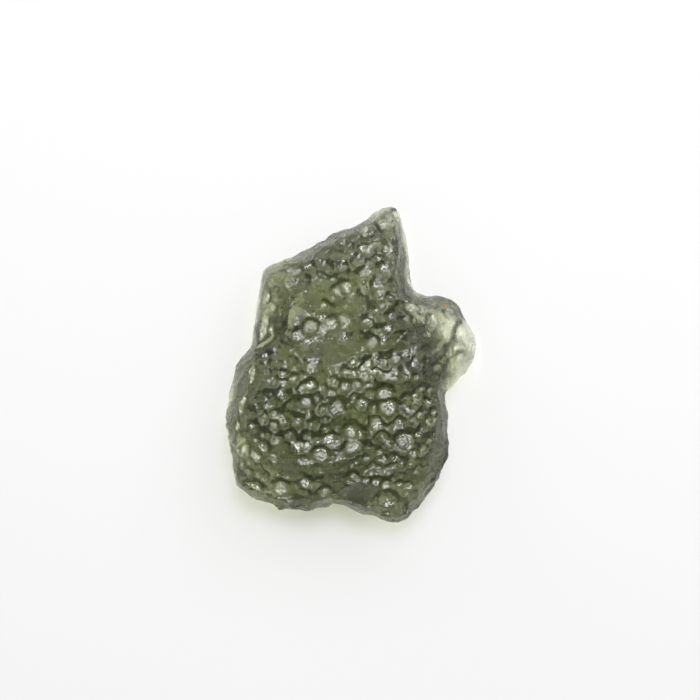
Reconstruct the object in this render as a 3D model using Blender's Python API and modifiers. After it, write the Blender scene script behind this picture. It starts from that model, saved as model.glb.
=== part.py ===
# A moldavite: one whole piece of natural green glass, etched all over and lying on its flattest side.
# X runs to the right, Y to the pointed tip and Z up. The origin is on the floor under the middle of the outline.
import math

import bmesh
import bpy
import numpy as np
from mathutils import Vector, noise
from mathutils.kdtree import KDTree

# Driving dimensions, in metres
LENGTH = 0.0256
THICKNESS = 0.0088
FLAT_LENGTH = 0.0084
FLAT_WIDTH = 0.0066

# Plan places are in steps of 1/320 of the length, from the middle of the outline.
LENGTH_STEPS = 320
STEP = LENGTH / LENGTH_STEPS
TALL = THICKNESS / STEP
OUTLINE = [
    (41, 160), (46, 158), (50, 154), (52, 148), (60, 112), (59, 98), (62, 84), (66, 73), (70, 72),
    (74, 70), (78, 68), (86, 70), (92, 69), (96, 67), (100, 66), (110, 58), (120, 42), (122, 35),
    (126, 22), (126, 2), (123, -3), (120, -7), (96, -29), (98, -45), (100, -52), (98, -66), (99, -82),
    (96, -98), (90, -114), (74, -140), (66, -146), (59, -157), (52, -159), (46, -160), (38, -159),
    (27, -152), (12, -151), (8, -149), (-4, -144), (-9, -142), (-17, -140), (-20, -143), (-24, -145),
    (-29, -145), (-34, -148), (-44, -150), (-48, -147), (-60, -148), (-68, -147), (-90, -137),
    (-102, -134), (-110, -125), (-114, -120), (-116, -113), (-123, -76), (-123, -70), (-125, -56),
    (-124, -46), (-116, -9), (-114, -1), (-110, 4), (-102, 15), (-99, 20), (-97, 37), (-95, 42),
    (-92, 68), (-89, 84), (-87, 92), (-84, 97), (-80, 100), (-68, 106), (-56, 109), (-30, 122),
    (-24, 124), (-16, 130), (6, 140),
]
MIDDLE = (-4.5, -6.5)
FLAT_MIDDLE = (-4, -24)
SOLE_DIP = 5
SOLE_REACH = 1.9
OUTLINE_SPACING = 1.5
OUTLINE_BLUR = 2

# Height of the widest line of the side and width of the bevel above it, by the angle about the middle
RIM = [
    (0, 0.30), (20, 0.34), (36, 0.34), (48, 0.28), (62, 0.26), (75, 0.30), (95, 0.24), (112, 0.20),
    (128, 0.24), (140, 0.24), (155, 0.24), (165, 0.22), (185, 0.24), (205, 0.30), (228, 0.34),
    (248, 0.40), (268, 0.30), (290, 0.42), (308, 0.36), (325, 0.44), (342, 0.36),
]
BEVEL = [
    (2, 9), (12, 13), (21, 14), (36, 10), (48, 13), (61, 15), (70, 10), (75, 7), (85, 9), (95, 7),
    (110, 14), (125, 11), (130, 5), (140, 4), (155, 4), (165, 8), (181, 15), (198, 13), (210, 10),
    (228, 7), (248, 9), (268, 7), (276, 9), (288, 12), (297, 14), (311, 14), (324, 12), (340, 8),
    (350, 7),
]
BEVEL_SHARE = 0.40
ROUND_WIDTH = 9
ROUND_SHARE = 0.30
DOME_WIDTH = 50
UNDER_ROUND_WIDTH = 14
UNDER_ROUND_SHARE = 0.42
BELLY_WIDTH = 64
BELLY_LIFT = 0.09

# Top surface before its relief: x, y and height as a share of the thickness
CROWN = [
    (0, -36, 0.98), (-50, -36, 0.96), (50, -56, 0.96), (62, -10, 0.92), (-80, -36, 0.92),
    (-60, -86, 0.94), (0, -92, 0.96), (50, -96, 0.93), (-50, -122, 0.84), (10, -122, 0.87),
    (46, -136, 0.78), (-92, -116, 0.82), (-24, 38, 0.90), (-60, 64, 0.84), (0, 104, 0.85),
    (26, 128, 0.78), (38, 148, 0.68), (-84, 74, 0.76), (-50, 98, 0.81), (50, 64, 0.80), (46, 28, 0.87),
    (80, 18, 0.81), (106, 34, 0.71), (108, -2, 0.68), (86, 58, 0.72), (-88, 28, 0.78), (-64, 14, 0.89),
    (90, -56, 0.87), (-104, -66, 0.86), (-4, 4, 0.95),
]

# Broad hollows and lumps of the top: x, y, radius and depth in steps, where a lump has a depth below nought
HOLLOWS = [
    (-24, 38, 40, 15), (2, 74, 19, 8), (-52, 28, 12, 6), (16, -158, 38, 15), (38, -38, 22, 8),
    (40, -62, 26, 6), (2, -70, 24, 8), (-66, -128, 22, 7), (30, -104, 24, 6), (-66, -54, 22, 5),
    (90, 36, 22, 6), (52, 50, 16, 6), (24, 100, 22, 6), (-40, -20, 22, 4), (62, -10, 22, -7),
    (68, 12, 18, -4), (-96, 40, 20, -3), (-50, 104, 20, -3), (-20, 8, 20, -3), (70, -70, 20, -4),
    (-50, -92, 24, -4),
]

# Grooves and crests of the top: half width, depth and the line that each follows
CREASES = [
    (5, 7, [(-104, 14), (-88, 16), (-80, 20), (-72, 30)]),
    (8, 8, [(40, 14), (52, 28), (62, 38), (70, 50)]),
    (8, 5, [(-92, 8), (-94, -12), (-102, -32), (-106, -52), (-108, -66), (-100, -82), (-88, -94)]),
    (7, -4, [(-88, -90), (-74, -98), (-50, -100), (-24, -100), (-4, -94)]),
    (9, 6, [(-80, -110), (-50, -113), (-24, -112)]),
    (5, -4, [(-12, -130), (-4, -122), (8, -119), (20, -119), (30, -123), (38, -130), (44, -134)]),
    (6, -5, [(108, 46), (100, 30), (98, 22), (88, 12), (80, 6), (70, -12)]),
    (6, 5, [(50, 112), (51, 100), (51, 88)]),
    (6, -4, [(50, 66), (56, 61), (64, 60), (70, 62), (80, 66)]),
    (7, -3, [(-24, 118), (-34, 108), (-44, 104), (-60, 102), (-74, 98)]),
    (6, 5, [(28, -68), (44, -84), (60, -100), (70, -108)]),
    (6, 4, [(52, -38), (66, -52), (84, -66)]),
    (6, -4, [(-4, 86), (6, 86), (12, 76), (12, 64)]),
    (6, -4, [(-54, 62), (-60, 48), (-62, 30), (-58, 12)]),
    (6, -4, [(2, 52), (12, 42), (13, 28), (8, 16)]),
]

# Pits of the top that stand out: x, y and radius of the flattest part of the floor
PITS = [
    (-52, 94, 6), (-72, 96, 4), (-42, 98, 4), (-26, 100, 3), (-6, 98, 3), (-18, 120, 3), (-14, 124, 3),
    (-6, 120, 3), (0, 118, 3), (22, 130, 3), (16, 128, 3), (34, 138, 4), (14, 114, 4), (18, 112, 2.5),
    (36, 116, 3), (14, 90, 4), (28, 78, 5), (30, 70, 3), (32, 58, 3), (42, 46, 4), (60, 56, 4),
    (16, 42, 3), (38, 36, 4), (24, 22, 7), (52, 80, 3), (-4, 76, 5), (-12, 72, 4), (-26, 58, 3),
    (-40, 36, 6), (-16, 40, 5), (-4, 42, 6), (-52, 28, 5), (-36, 2, 6), (-84, 8, 4), (-84, 2, 4),
    (-72, 2, 2.5), (-82, -8, 3), (-76, -6, 2), (-64, -8, 2), (-64, -18, 3), (-46, -24, 2), (-38, -20, 4),
    (-4, -22, 4), (-4, -8, 3), (8, -20, 3), (18, 0, 3), (14, -4, 3), (-42, -38, 5), (-32, -34, 2.5),
    (-12, -42, 6), (12, -38, 4), (-26, -44, 2.5), (-74, -48, 2.5), (-84, -52, 2), (-50, -56, 2.5),
    (-40, -48, 2), (-74, -60, 2.5), (-22, -66, 3), (-20, -74, 5), (2, -66, 6), (10, -68, 3), (2, -82, 5),
    (8, -80, 4), (22, -84, 2.5), (-94, -76, 3), (-86, -82, 5), (-50, -80, 4), (-44, -80, 3),
    (-28, -88, 6), (26, -58, 5), (50, -58, 3.5), (32, -72, 4), (38, -78, 4), (30, -88, 4), (32, -94, 4),
    (16, -94, 3), (56, -76, 8), (44, -94, 4), (44, -102, 4), (24, -102, 3), (28, -104, 3), (38, -104, 3),
    (52, -98, 2.5), (6, -98, 2.5), (12, -102, 2), (16, -106, 2.5), (26, -118, 4), (16, -118, 4),
    (36, -120, 4), (50, -120, 3), (58, -122, 4), (4, -112, 4), (46, 6, 4), (46, -8, 3), (46, -14, 3),
    (64, 0, 4), (78, 2, 3), (86, -4, 3), (74, -10, 3), (66, -14, 3), (-68, -124, 7), (-44, -118, 5),
    (-50, -112, 2.5), (-54, -122, 3), (-30, -106, 5), (-62, -112, 3), (-46, -128, 3), (-118, -70, 3),
    (-114, -50, 3), (-104, 4, 3), (-102, -2, 3), (-118, -94, 3), (-104, -84, 3), (38, -42, 7),
    (36, -30, 6), (38, -136, 8), (38, -152, 4), (-8, -138, 4), (100, 52, 5), (114, 30, 8), (106, 16, 3),
    (110, 6, 3), (94, -98, 3), (-84, 68, 5), (-76, 56, 3), (-88, 34, 8), (-84, 42, 4), (-78, 34, 4),
    (-94, -124, 6), (-102, -122, 4), (56, -34, 3), (65, -32, 3), (52, -42, 2.5), (57, -46, 3),
    (62, -40, 2.5), (71, -26, 3), (79, -27, 3), (78, -39, 3.5), (78, -57, 3), (67, -70, 3.5),
    (63, -89, 4), (59, -98, 3), (72, -84, 3), (84, -48, 3), (86, -70, 3), (70, -50, 2.5), (-108, -100, 3),
    (-100, -108, 3), (-112, -60, 2.5), (-90, -92, 3), (-96, -62, 3), (-98, -48, 2.5), (-70, -110, 3),
    (-14, -132, 3), (-24, -126, 3.5),
]
PIT_REACH = 1.4
PIT_MARGIN = 3
PIT_DEPTH = 0.42

# Bowls over every side: radius from and to, how near they stand, depth as a share of the radius, and tries
BOWLS = [
    (10, 17, 0.66, 0.32, 2500),
    (5, 10, 0.66, 0.38, 12000),
]
BOWL_DEPTHS = (0.7, 1.2)
BOWL_FADE = 1.5
RIDGE = 2.6
SWELL = 1.6
SWELL_SIZE = 19
UNEVEN = 2.4
UNEVEN_SIZE = 9
UNEVEN_SHIFTS = (0, 57, 131)
SIDE_SHARE = 0.5
FLAT_CLEAR = 1.35
UNDER_HEIGHT = 12
EDGE_GUARD = 16
SEED = 27

# Places of the top that are smoother than the rest: x, y, radius and the share of the bowls left
SMOOTH_PLACES = [
    (-84, 44, 24, 0.1), (-88, 24, 14, 0.2), (-72, 70, 20, 0.4), (-32, 4, 26, 0.45), (-24, 36, 36, 0.4),
    (62, -10, 22, 0.45), (76, 12, 18, 0.35), (92, 36, 20, 0.2), (112, 22, 16, 0.4), (16, -138, 26, 0.3),
    (-40, 58, 18, 0.5), (-50, -96, 22, 0.4), (-10, -96, 20, 0.5), (-104, -40, 14, 0.4),
    (-98, -8, 12, 0.4), (52, 104, 14, 0.15), (50, 124, 12, 0.15), (48, 84, 10, 0.3), (-54, 112, 16, 0.3),
    (-80, 98, 12, 0.3), (-24, 128, 10, 0.3), (0, 134, 12, 0.3), (24, 148, 10, 0.3), (108, -4, 14, 0.4),
    (-96, 8, 12, 0.4),
]

# Short straight furrows, each group lying one way: degrees, length, half width, depth and their middles
FURROWS = [
    (-44, 18, 5, 3, [(60, -42), (80, -44), (66, -60), (88, -60), (48, -74), (72, -82), (36, -88), (58, -96)]),
    (-118, 20, 3, 3, [(80, -108), (74, -120), (86, -100)]),
    (96, 20, 3, 2.5, [(18, -136), (25, -139), (32, -141)]),
    (80, 16, 5, 3, [(-78, -122), (-58, -126), (-36, -124), (-14, -122)]),
]

# Places hollowed from below: x, y, radius and the share of the thickness gone
THIN_PLACES = [
    (110, 20, 44, 0.45), (-92, 48, 34, 0.3), (-122, -46, 30, 0.16), (54, 126, 32, 0.25),
    (64, 66, 24, 0.2), (-112, -100, 34, 0.16),
]

SEGMENTS = 288
RINGS = 144
GRAIN = 2.0
TRIANGLES = 9300
SLIVER = 0.15


def clear_scene():
    for thing in list(bpy.data.objects):
        bpy.data.objects.remove(thing)


def walked(points, spacing, closed):
    """The line through these points, cut into even short runs."""
    ends = list(points) + ([points[0]] if closed else [])
    runs = []
    for start, end in zip(np.array(ends[:-1], float), np.array(ends[1:], float)):
        count = max(1, round(float(np.linalg.norm(end - start)) / spacing))
        share = np.linspace(0, 1, count, endpoint=False)[:, None]
        runs.append(start + (end - start) * share)
    if not closed:
        runs.append(np.array([ends[-1]], float))
    return np.concatenate(runs)


def soft_outline():
    """The outline as a close row of points, with its corners eased."""
    line = walked(OUTLINE, OUTLINE_SPACING, True)
    shifts = range(-OUTLINE_BLUR, OUTLINE_BLUR + 1)
    return sum(np.roll(line, shift, axis=0) for shift in shifts) / len(shifts)


def around(table, angle):
    """A value read round the stone from (degrees, value) pairs."""
    degrees, values = zip(*table)
    return np.interp(np.degrees(angle) % 360, degrees, values, period=360)


def tree_of(points):
    tree = KDTree(len(points))
    for index, point in enumerate(points):
        tree.insert(point, index)
    tree.balance()
    return tree


def outline_distance(x, y):
    """How far each place is from the outline, in plan."""
    tree = tree_of([(a, b, 0) for a, b in soft_outline()])
    return np.array([tree.find((a, b, 0))[2] for a, b in zip(x, y)])


def crown_height(x, y):
    """A thin plate bent through the heights of the crown."""
    known = np.array(CROWN, float)

    def bend(span):
        return np.where(span > 0, span**2 * np.log(np.maximum(span, 1e-9)), 0)

    gaps = np.linalg.norm(known[:, None, :2] - known[None, :, :2], axis=2)
    flat = np.column_stack([np.ones(len(known)), known[:, :2]])
    system = np.block([[bend(gaps), flat], [flat.T, np.zeros((3, 3))]])
    weights = np.linalg.solve(system, np.concatenate([known[:, 2], np.zeros(3)]))
    height = weights[-3] + weights[-2] * x + weights[-1] * y
    for point, weight in zip(known, weights):
        height = height + weight * bend(np.hypot(x - point[0], y - point[1]))
    return height * TALL


def eased(share):
    share = np.clip(share, 0, 1)
    return share * share * (3 - 2 * share)


def flat_span(x, y):
    """Distance from the middle of the flat spot, as a share of the reach to its uneven border."""
    across = (x - FLAT_MIDDLE[0]) * STEP / (FLAT_WIDTH / 2)
    along = (y - FLAT_MIDDLE[1]) * STEP / (FLAT_LENGTH / 2)
    turn = np.arctan2(along, across)
    return np.hypot(across, along) * (1 + 0.11 * np.sin(3 * turn + 1) + 0.06 * np.sin(5 * turn + 2.6))


def rounding(inset, width):
    return np.sqrt(1 - (1 - np.clip(inset / width, 0, 1)) ** 2)


def body_heights(x, y, inset):
    """Top and underside of the plain body: bevelled above, bowl-shaped below."""
    angle = np.arctan2(y - MIDDLE[1], x - MIDDLE[0])
    rim = around(RIM, angle) * TALL
    bevel = np.clip(inset / around(BEVEL, angle), 0, 1)
    dome = 1 - (1 - np.clip(inset / DOME_WIDTH, 0, 1)) ** 2.2
    rise = BEVEL_SHARE * bevel + ROUND_SHARE * rounding(inset, ROUND_WIDTH)
    rise = rise + (1 - BEVEL_SHARE - ROUND_SHARE) * dome
    top = rim + (crown_height(x, y) - rim) * rise

    bowl = 1 - (1 - np.clip(inset / BELLY_WIDTH, 0, 1)) ** 2
    swell = 0.5 + 0.5 * np.sin(x / 21 + 1.3) * np.cos(y / 26 - 0.4)
    curl = rounding(inset, UNDER_ROUND_WIDTH)
    drop = (1 - UNDER_ROUND_SHARE) * bowl + UNDER_ROUND_SHARE * curl
    under = rim * (1 - drop) + BELLY_LIFT * TALL * bowl * swell
    span = flat_span(x, y)
    sole = eased((SOLE_REACH - span) / (SOLE_REACH - 1.1))
    under = under * (1 - sole) + SOLE_DIP * (np.minimum(span, SOLE_REACH) ** 2 - 1) * sole
    gone = np.zeros(len(x))
    for centre_x, centre_y, radius, share in THIN_PLACES:
        gone = np.maximum(gone, share * eased(1.1 - 0.6 * np.hypot(x - centre_x, y - centre_y) / radius))
    gone = gone * eased(inset / UNDER_ROUND_WIDTH) * (1 - sole)
    return top, under + (top - under) * gone


def body_shape(ball):
    """Places on a unit ball pulled out to the plain body."""
    line = soft_outline() - MIDDLE
    line_angle = np.arctan2(line[:, 1], line[:, 0])
    order = np.argsort(line_angle)
    line_reach = np.hypot(line[:, 0], line[:, 1])[order]
    angle = np.arctan2(ball[:, 1], ball[:, 0])
    share = np.clip(np.hypot(ball[:, 0], ball[:, 1]), 0, 1)
    reach = share * np.interp(angle, line_angle[order], line_reach, period=2 * math.pi)
    x = MIDDLE[0] + reach * np.cos(angle)
    y = MIDDLE[1] + reach * np.sin(angle)
    inset = np.where(share > 0.999999, 0, outline_distance(x, y))
    top, under = body_heights(x, y, inset)
    return np.column_stack([x, y, np.where(ball[:, 2] >= 0, top, under)])


def read_points(mesh, name="co", source=None):
    values = np.empty(len(mesh.vertices) * 3)
    (source or mesh.vertices).foreach_get(name, values)
    return values.reshape(-1, 3)


def netted(mesh):
    """The same shape as an even net of small faces."""
    body = bpy.data.objects.new("body", mesh)
    bpy.context.scene.collection.objects.link(body)
    net = body.modifiers.new("even net", "REMESH")
    net.mode = "VOXEL"
    net.voxel_size = GRAIN * STEP
    even = bpy.data.meshes.new_from_object(body.evaluated_get(bpy.context.evaluated_depsgraph_get()))
    bpy.data.objects.remove(body)
    return even


def body_mesh():
    """The plain body, ready to be etched."""
    ball = bmesh.new()
    bmesh.ops.create_uvsphere(ball, u_segments=SEGMENTS, v_segments=RINGS, radius=1)
    mesh = bpy.data.meshes.new("body")
    ball.to_mesh(mesh)
    ball.free()
    mesh.vertices.foreach_set("co", (body_shape(read_points(mesh)) * STEP).ravel())
    return netted(mesh)


def furrow_lines():
    lines = []
    for turn, length, half_width, deep, middles in FURROWS:
        east = math.cos(math.radians(turn)) * length / 2
        north = math.sin(math.radians(turn)) * length / 2
        for x, y in middles:
            lines.append((half_width, deep, [(x - east, y - north), (x + east, y + north)]))
    return lines


def crease_depth(x, y):
    """How deep the grooves cut, or the crests stand where it is below nought."""
    depth = np.zeros(len(x))
    for half_width, deep, points in CREASES + furrow_lines():
        line = walked(points, 2, False)
        span = np.hypot(x[:, None] - line[None, :, 0], y[:, None] - line[None, :, 1])
        along = np.argmin(span, axis=1) / (len(line) - 1)
        fade = eased(np.minimum(along, 1 - along) * 6 + 0.25)
        depth = depth + deep * fade * np.clip(1 - span.min(axis=1) / half_width, 0, 1) ** 1.3
    return depth


def hollow_depth(x, y):
    depth = np.zeros(len(x))
    for centre_x, centre_y, radius, deep in HOLLOWS:
        span = np.hypot(x - centre_x, y - centre_y) / radius
        if deep > 0:
            depth = np.maximum(depth, deep * (1 - span**2))
        else:
            depth = depth + deep * eased(1 - span)
    return depth


def waves(place, size):
    return np.array([noise.noise(Vector(spot) / size) for spot in place])


def smoothness(spot):
    """The share of the bowls' depth left at a place of the top."""
    left = 1
    for x, y, radius, share in SMOOTH_PLACES:
        near = float(eased(1.5 - math.hypot(spot[0] - x, spot[1] - y) / radius))
        left = min(left, 1 - (1 - share) * near)
    return left


def pit_seeds():
    """Middle, radius and depth of each pit that stands out."""
    known = np.array(PITS, float)
    top, under = body_heights(known[:, 0], known[:, 1], outline_distance(known[:, 0], known[:, 1]))
    radius = PIT_REACH * known[:, 2] + PIT_MARGIN
    return np.column_stack([known[:, 0], known[:, 1], top, radius, PIT_DEPTH * radius])


def bowl_seeds(draw):
    """The pits, and the bowls spread over the rest of the plain body so that they just meet."""
    pits = pit_seeds()
    seeds = np.zeros((len(pits) + sum(kind[4] for kind in BOWLS), 5))
    count = len(pits)
    seeds[:count] = pits
    for small, large, gap, deep, tries in BOWLS:
        ball = draw.normal(size=(tries, 3))
        spots = body_shape(ball / np.linalg.norm(ball, axis=1)[:, None])
        radii = draw.uniform(small, large, size=tries)
        depths = deep * draw.uniform(*BOWL_DEPTHS, size=tries)
        for spot, radius, depth in zip(spots, radii, depths):
            if spot[2] < UNDER_HEIGHT and flat_span(spot[0], spot[1]) < FLAT_CLEAR:
                continue
            gaps = np.linalg.norm(seeds[:count, :3] - spot, axis=1)
            if (gaps < gap * (seeds[:count, 3] + radius)).any():
                continue
            share = smoothness(spot) if spot[2] > 0.3 * TALL else 1
            seeds[count] = (*spot, radius, depth * radius * share)
            count += 1
    return seeds[:count]


def bowl_depth(place, seeds):
    """Bowls that meet in sharp crests: at each place the one that cuts deepest counts."""
    uneven = [waves(place + shift, UNEVEN_SIZE) for shift in UNEVEN_SHIFTS]
    tree = tree_of(place + UNEVEN * np.column_stack(uneven))
    depth = np.full(len(place), -RIDGE)
    for x, y, z, radius, deep in seeds:
        found = tree.find_range((x, y, z), radius * BOWL_FADE)
        index = np.array([hit[1] for hit in found], int)
        span = np.array([hit[2] for hit in found]) / radius
        depth[index] = np.maximum(depth[index], deep * (1 - span**3))
    return depth


def etched(mesh):
    """The body with its hollows, creases, pits and bowls cut in."""
    plain = read_points(mesh) / STEP
    place = plain.copy()
    facing = read_points(mesh, "vector", mesh.vertex_normals)
    above = eased(facing[:, 2] * 2.5 - 0.2)
    inland = eased(outline_distance(plain[:, 0], plain[:, 1]) / EDGE_GUARD)
    relief = hollow_depth(plain[:, 0], plain[:, 1]) + crease_depth(plain[:, 0], plain[:, 1])
    place[:, 2] -= relief * above * inland
    mesh.vertices.foreach_set("co", (place * STEP).ravel())
    mesh.update()
    facing = read_points(mesh, "vector", mesh.vertex_normals)
    clear = eased((np.abs(place[:, 2]) - 1) / 6)
    steep = SIDE_SHARE + (1 - SIDE_SHARE) * eased(np.abs(facing[:, 2]) * 1.7)
    seeds = bowl_seeds(np.random.default_rng(SEED))
    level = SWELL * waves(place, SWELL_SIZE) - steep * bowl_depth(plain, seeds)
    place += facing * (clear * level)[:, None]
    mesh.vertices.foreach_set("co", (place * STEP).ravel())
    mesh.update()


def thinned(mesh):
    """Fewer, larger flat faces, as many as the shape needs."""
    body = bpy.data.objects.new("body", mesh)
    bpy.context.scene.collection.objects.link(body)
    mesh.calc_loop_triangles()
    fewer = body.modifiers.new("flat faces", "DECIMATE")
    fewer.ratio = TRIANGLES / len(mesh.loop_triangles)
    fewer.use_collapse_triangulate = True
    thin = bpy.data.meshes.new_from_object(body.evaluated_get(bpy.context.evaluated_depsgraph_get()))
    bpy.data.objects.remove(body)
    return thin


def cut_flat(mesh):
    """The flat spot that it rests on, cut where the underside dips below the floor."""
    solid = bmesh.new()
    solid.from_mesh(mesh)
    parts = solid.verts[:] + solid.edges[:] + solid.faces[:]
    bmesh.ops.bisect_plane(solid, geom=parts, plane_co=(0, 0, 0), plane_no=(0, 0, -1), clear_outer=True)
    border_verts = [vert for vert in solid.verts if vert.is_boundary]
    bmesh.ops.remove_doubles(solid, verts=border_verts, dist=SLIVER * STEP)
    border = [edge for edge in solid.edges if edge.is_boundary]
    sole = bmesh.ops.contextual_create(solid, geom=border)["faces"]
    bmesh.ops.triangulate(solid, faces=sole)
    bmesh.ops.recalc_face_normals(solid, faces=solid.faces[:])
    solid.to_mesh(mesh)
    solid.free()


def glass():
    """Green glass with a frosted skin."""
    material = bpy.data.materials.new("moldavite glass")
    material.use_nodes = True
    shader = material.node_tree.nodes["Principled BSDF"]
    shader.inputs["Base Color"].default_value = (0.21, 0.26, 0.13, 1)
    shader.inputs["Roughness"].default_value = 0.32
    shader.inputs["Metallic"].default_value = 0
    shader.inputs["Transmission Weight"].default_value = 0.6
    shader.inputs["IOR"].default_value = 1.49
    return material


def make_moldavite():
    mesh = body_mesh()
    etched(mesh)
    mesh = thinned(netted(mesh))
    cut_flat(mesh)
    mesh.name = "moldavite"
    mesh.materials.append(glass())
    mesh.shade_smooth()
    stone = bpy.data.objects.new("moldavite", mesh)
    group = bpy.data.collections.new("moldavite")
    bpy.context.scene.collection.children.link(group)
    group.objects.link(stone)


clear_scene()
make_moldavite()
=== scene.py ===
import math

import bmesh
import bpy
import numpy as np
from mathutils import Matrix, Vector, noise
from mathutils.kdtree import KDTree


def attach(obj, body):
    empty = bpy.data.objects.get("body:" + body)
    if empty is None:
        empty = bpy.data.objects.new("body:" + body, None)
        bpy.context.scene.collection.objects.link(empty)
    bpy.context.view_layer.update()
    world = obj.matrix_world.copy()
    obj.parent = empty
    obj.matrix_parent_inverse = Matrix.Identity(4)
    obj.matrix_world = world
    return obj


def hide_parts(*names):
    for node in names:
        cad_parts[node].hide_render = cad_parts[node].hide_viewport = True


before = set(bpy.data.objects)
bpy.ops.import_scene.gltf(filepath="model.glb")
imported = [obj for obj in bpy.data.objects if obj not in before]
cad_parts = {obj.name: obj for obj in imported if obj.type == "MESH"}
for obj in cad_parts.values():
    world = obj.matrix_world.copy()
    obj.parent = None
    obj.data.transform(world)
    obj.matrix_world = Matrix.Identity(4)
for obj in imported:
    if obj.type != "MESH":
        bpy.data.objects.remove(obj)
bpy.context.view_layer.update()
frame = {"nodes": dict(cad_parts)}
print("frame loaded:", ", ".join(frame["nodes"]))

stone = {
    "length": 0.0256,           # in metres, as the next three are
    "height": 0.0088,
    "flatWidth": 0.0066,        # the flat spot that it rests on
    "flatLength": 0.0084,
    "lengthSteps": 320,
    "middle": (-4.5, -6.5),
    "outlineSpacing": 1.5,
    "outlineBlur": 2,
    "ball": (320, 160),         # faces round and up the ball that the body is pulled from
    "grain": 1.52,              # size of the small faces
    "bevelShare": 0.40,         # how much of the height is in the bevel, and in the rounding of the rim
    "roundShare": 0.30,
    "roundWidth": 9,
    "domeWidth": 50,
    "domeBend": 2.2,
    "underRoundShare": 0.42,
    "underRoundWidth": 14,
    "bellyWidth": 64,
    "bellyLift": 0.09,
    "bellyWaves": ((21, 1.3), (26, -0.4)),
    "thinFade": (1.1, 0.6),     # how a thin place fades out from its middle
    "flatMiddle": (-4, -24),
    "flatDip": 5,
    "flatReach": 1.9,
    "flatBlend": 1.1,
    "flatBumps": ((0.11, 3, 1), (0.06, 5, 2.6)),    # its uneven border: how far, how often and from where
    "grooveSpacing": 2,
    "grooveEnds": (6, 0.25),    # how soon a groove fades at its ends
    "grooveBend": 1.3,
    "topTurn": (2.5, 0.2),      # the broad relief is only where the body faces up
    "rimGuard": 16,             # and fades out this near to the outline
    "soleGuard": (1, 6),        # no bowl is cut up to this height over the table, and the rest begin above it
    "flatClear": 1.35,          # no bowl starts this near to the flat spot, below this height
    "underHeight": 12,
    "topShare": 0.3,            # the smooth places count from this share of the height up
    "smoothFade": 1.5,
    "sideBowls": 0.5,           # depth of the bowls on the steep sides
    "sideTurn": 1.7,
    "fineSides": (0.3, 0.5, 0.35),  # depth of the fine bowls there, and where the top starts
    "bowlDepths": (0.7, 1.2),
    "bowlFade": 1.5,            # how far out the side of a bowl runs on, as a share of its radius
    "swell": 1.6,
    "swellSize": 19,
    "uneven": 2.4,              # the bowls aren't round: how far they are pulled about, and over what size
    "unevenSize": 9,
    "unevenShifts": (0, 57, 131),
    "ridge": 2.6,               # how far the crests between the bowls stand up
    "blunting": 0.6,            # how much the crests are blunted, and how many times
    "bluntTurns": 2,
    "sharpCrest": 0.35,         # how far a full crest stands over the points round it
    "floorBowls": 0.1,          # the fine bowls left on the level floors
    "seed": 27,
}

# Everything on the stone is placed in steps of 1/320 of its length, from the middle of its outline.
step = stone["length"] / stone["lengthSteps"]
tall = stone["height"] / step
flatSize = (stone["flatWidth"] / step, stone["flatLength"] / step)

outline = [
    (41, 160), (46, 158), (50, 154), (52, 148), (60, 112), (59, 98), (62, 84), (66, 73), (70, 72),
    (74, 70), (78, 68), (86, 70), (92, 69), (96, 67), (100, 66), (110, 58), (120, 42), (122, 35),
    (126, 22), (126, 2), (123, -3), (120, -7), (96, -29), (98, -45), (100, -52), (98, -66), (99, -82),
    (96, -98), (90, -114), (74, -140), (66, -146), (59, -157), (52, -159), (46, -160), (38, -159),
    (27, -152), (12, -151), (8, -149), (-4, -144), (-9, -142), (-17, -140), (-20, -143), (-24, -145),
    (-29, -145), (-34, -148), (-44, -150), (-48, -147), (-60, -148), (-68, -147), (-90, -137),
    (-102, -134), (-110, -125), (-114, -120), (-116, -113), (-123, -76), (-123, -70), (-125, -56),
    (-124, -46), (-116, -9), (-114, -1), (-110, 4), (-102, 15), (-99, 20), (-97, 37), (-95, 42),
    (-92, 68), (-89, 84), (-87, 92), (-84, 97), (-80, 100), (-68, 106), (-56, 109), (-30, 122),
    (-24, 124), (-16, 130), (6, 140),
]

# By the angle about the middle: height of the widest line of the side, and width of the bevel above it
rimHeight = [
    (0, 0.30), (20, 0.34), (36, 0.34), (48, 0.28), (62, 0.26), (75, 0.30), (95, 0.24), (112, 0.20),
    (128, 0.24), (140, 0.24), (155, 0.24), (165, 0.22), (185, 0.24), (205, 0.30), (228, 0.34),
    (248, 0.40), (268, 0.30), (290, 0.42), (308, 0.36), (325, 0.44), (342, 0.36),
]
bevelWidth = [
    (2, 9), (12, 13), (21, 14), (36, 10), (48, 13), (61, 15), (70, 10), (75, 7), (85, 9), (95, 7),
    (110, 14), (125, 11), (130, 5), (140, 4), (155, 4), (165, 8), (181, 15), (198, 13), (210, 10),
    (228, 7), (248, 9), (268, 7), (276, 9), (288, 12), (297, 14), (311, 14), (324, 12), (340, 8),
    (350, 7),
]

# Top surface before its relief: x, y and height as a share of the thickness
crown = [
    (0, -36, 0.98), (-50, -36, 0.96), (50, -56, 0.96), (62, -10, 0.92), (-80, -36, 0.92),
    (-60, -86, 0.94), (0, -92, 0.96), (50, -96, 0.93), (-50, -122, 0.84), (10, -122, 0.87),
    (46, -136, 0.78), (-92, -116, 0.82), (-24, 38, 0.90), (-60, 64, 0.84), (0, 104, 0.85),
    (26, 128, 0.78), (38, 148, 0.68), (-84, 74, 0.76), (-50, 98, 0.81), (50, 64, 0.80), (46, 28, 0.87),
    (80, 18, 0.81), (106, 34, 0.71), (108, -2, 0.68), (86, 58, 0.72), (-88, 28, 0.78), (-64, 14, 0.89),
    (90, -56, 0.87), (-104, -66, 0.86), (-4, 4, 0.95),
]

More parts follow.
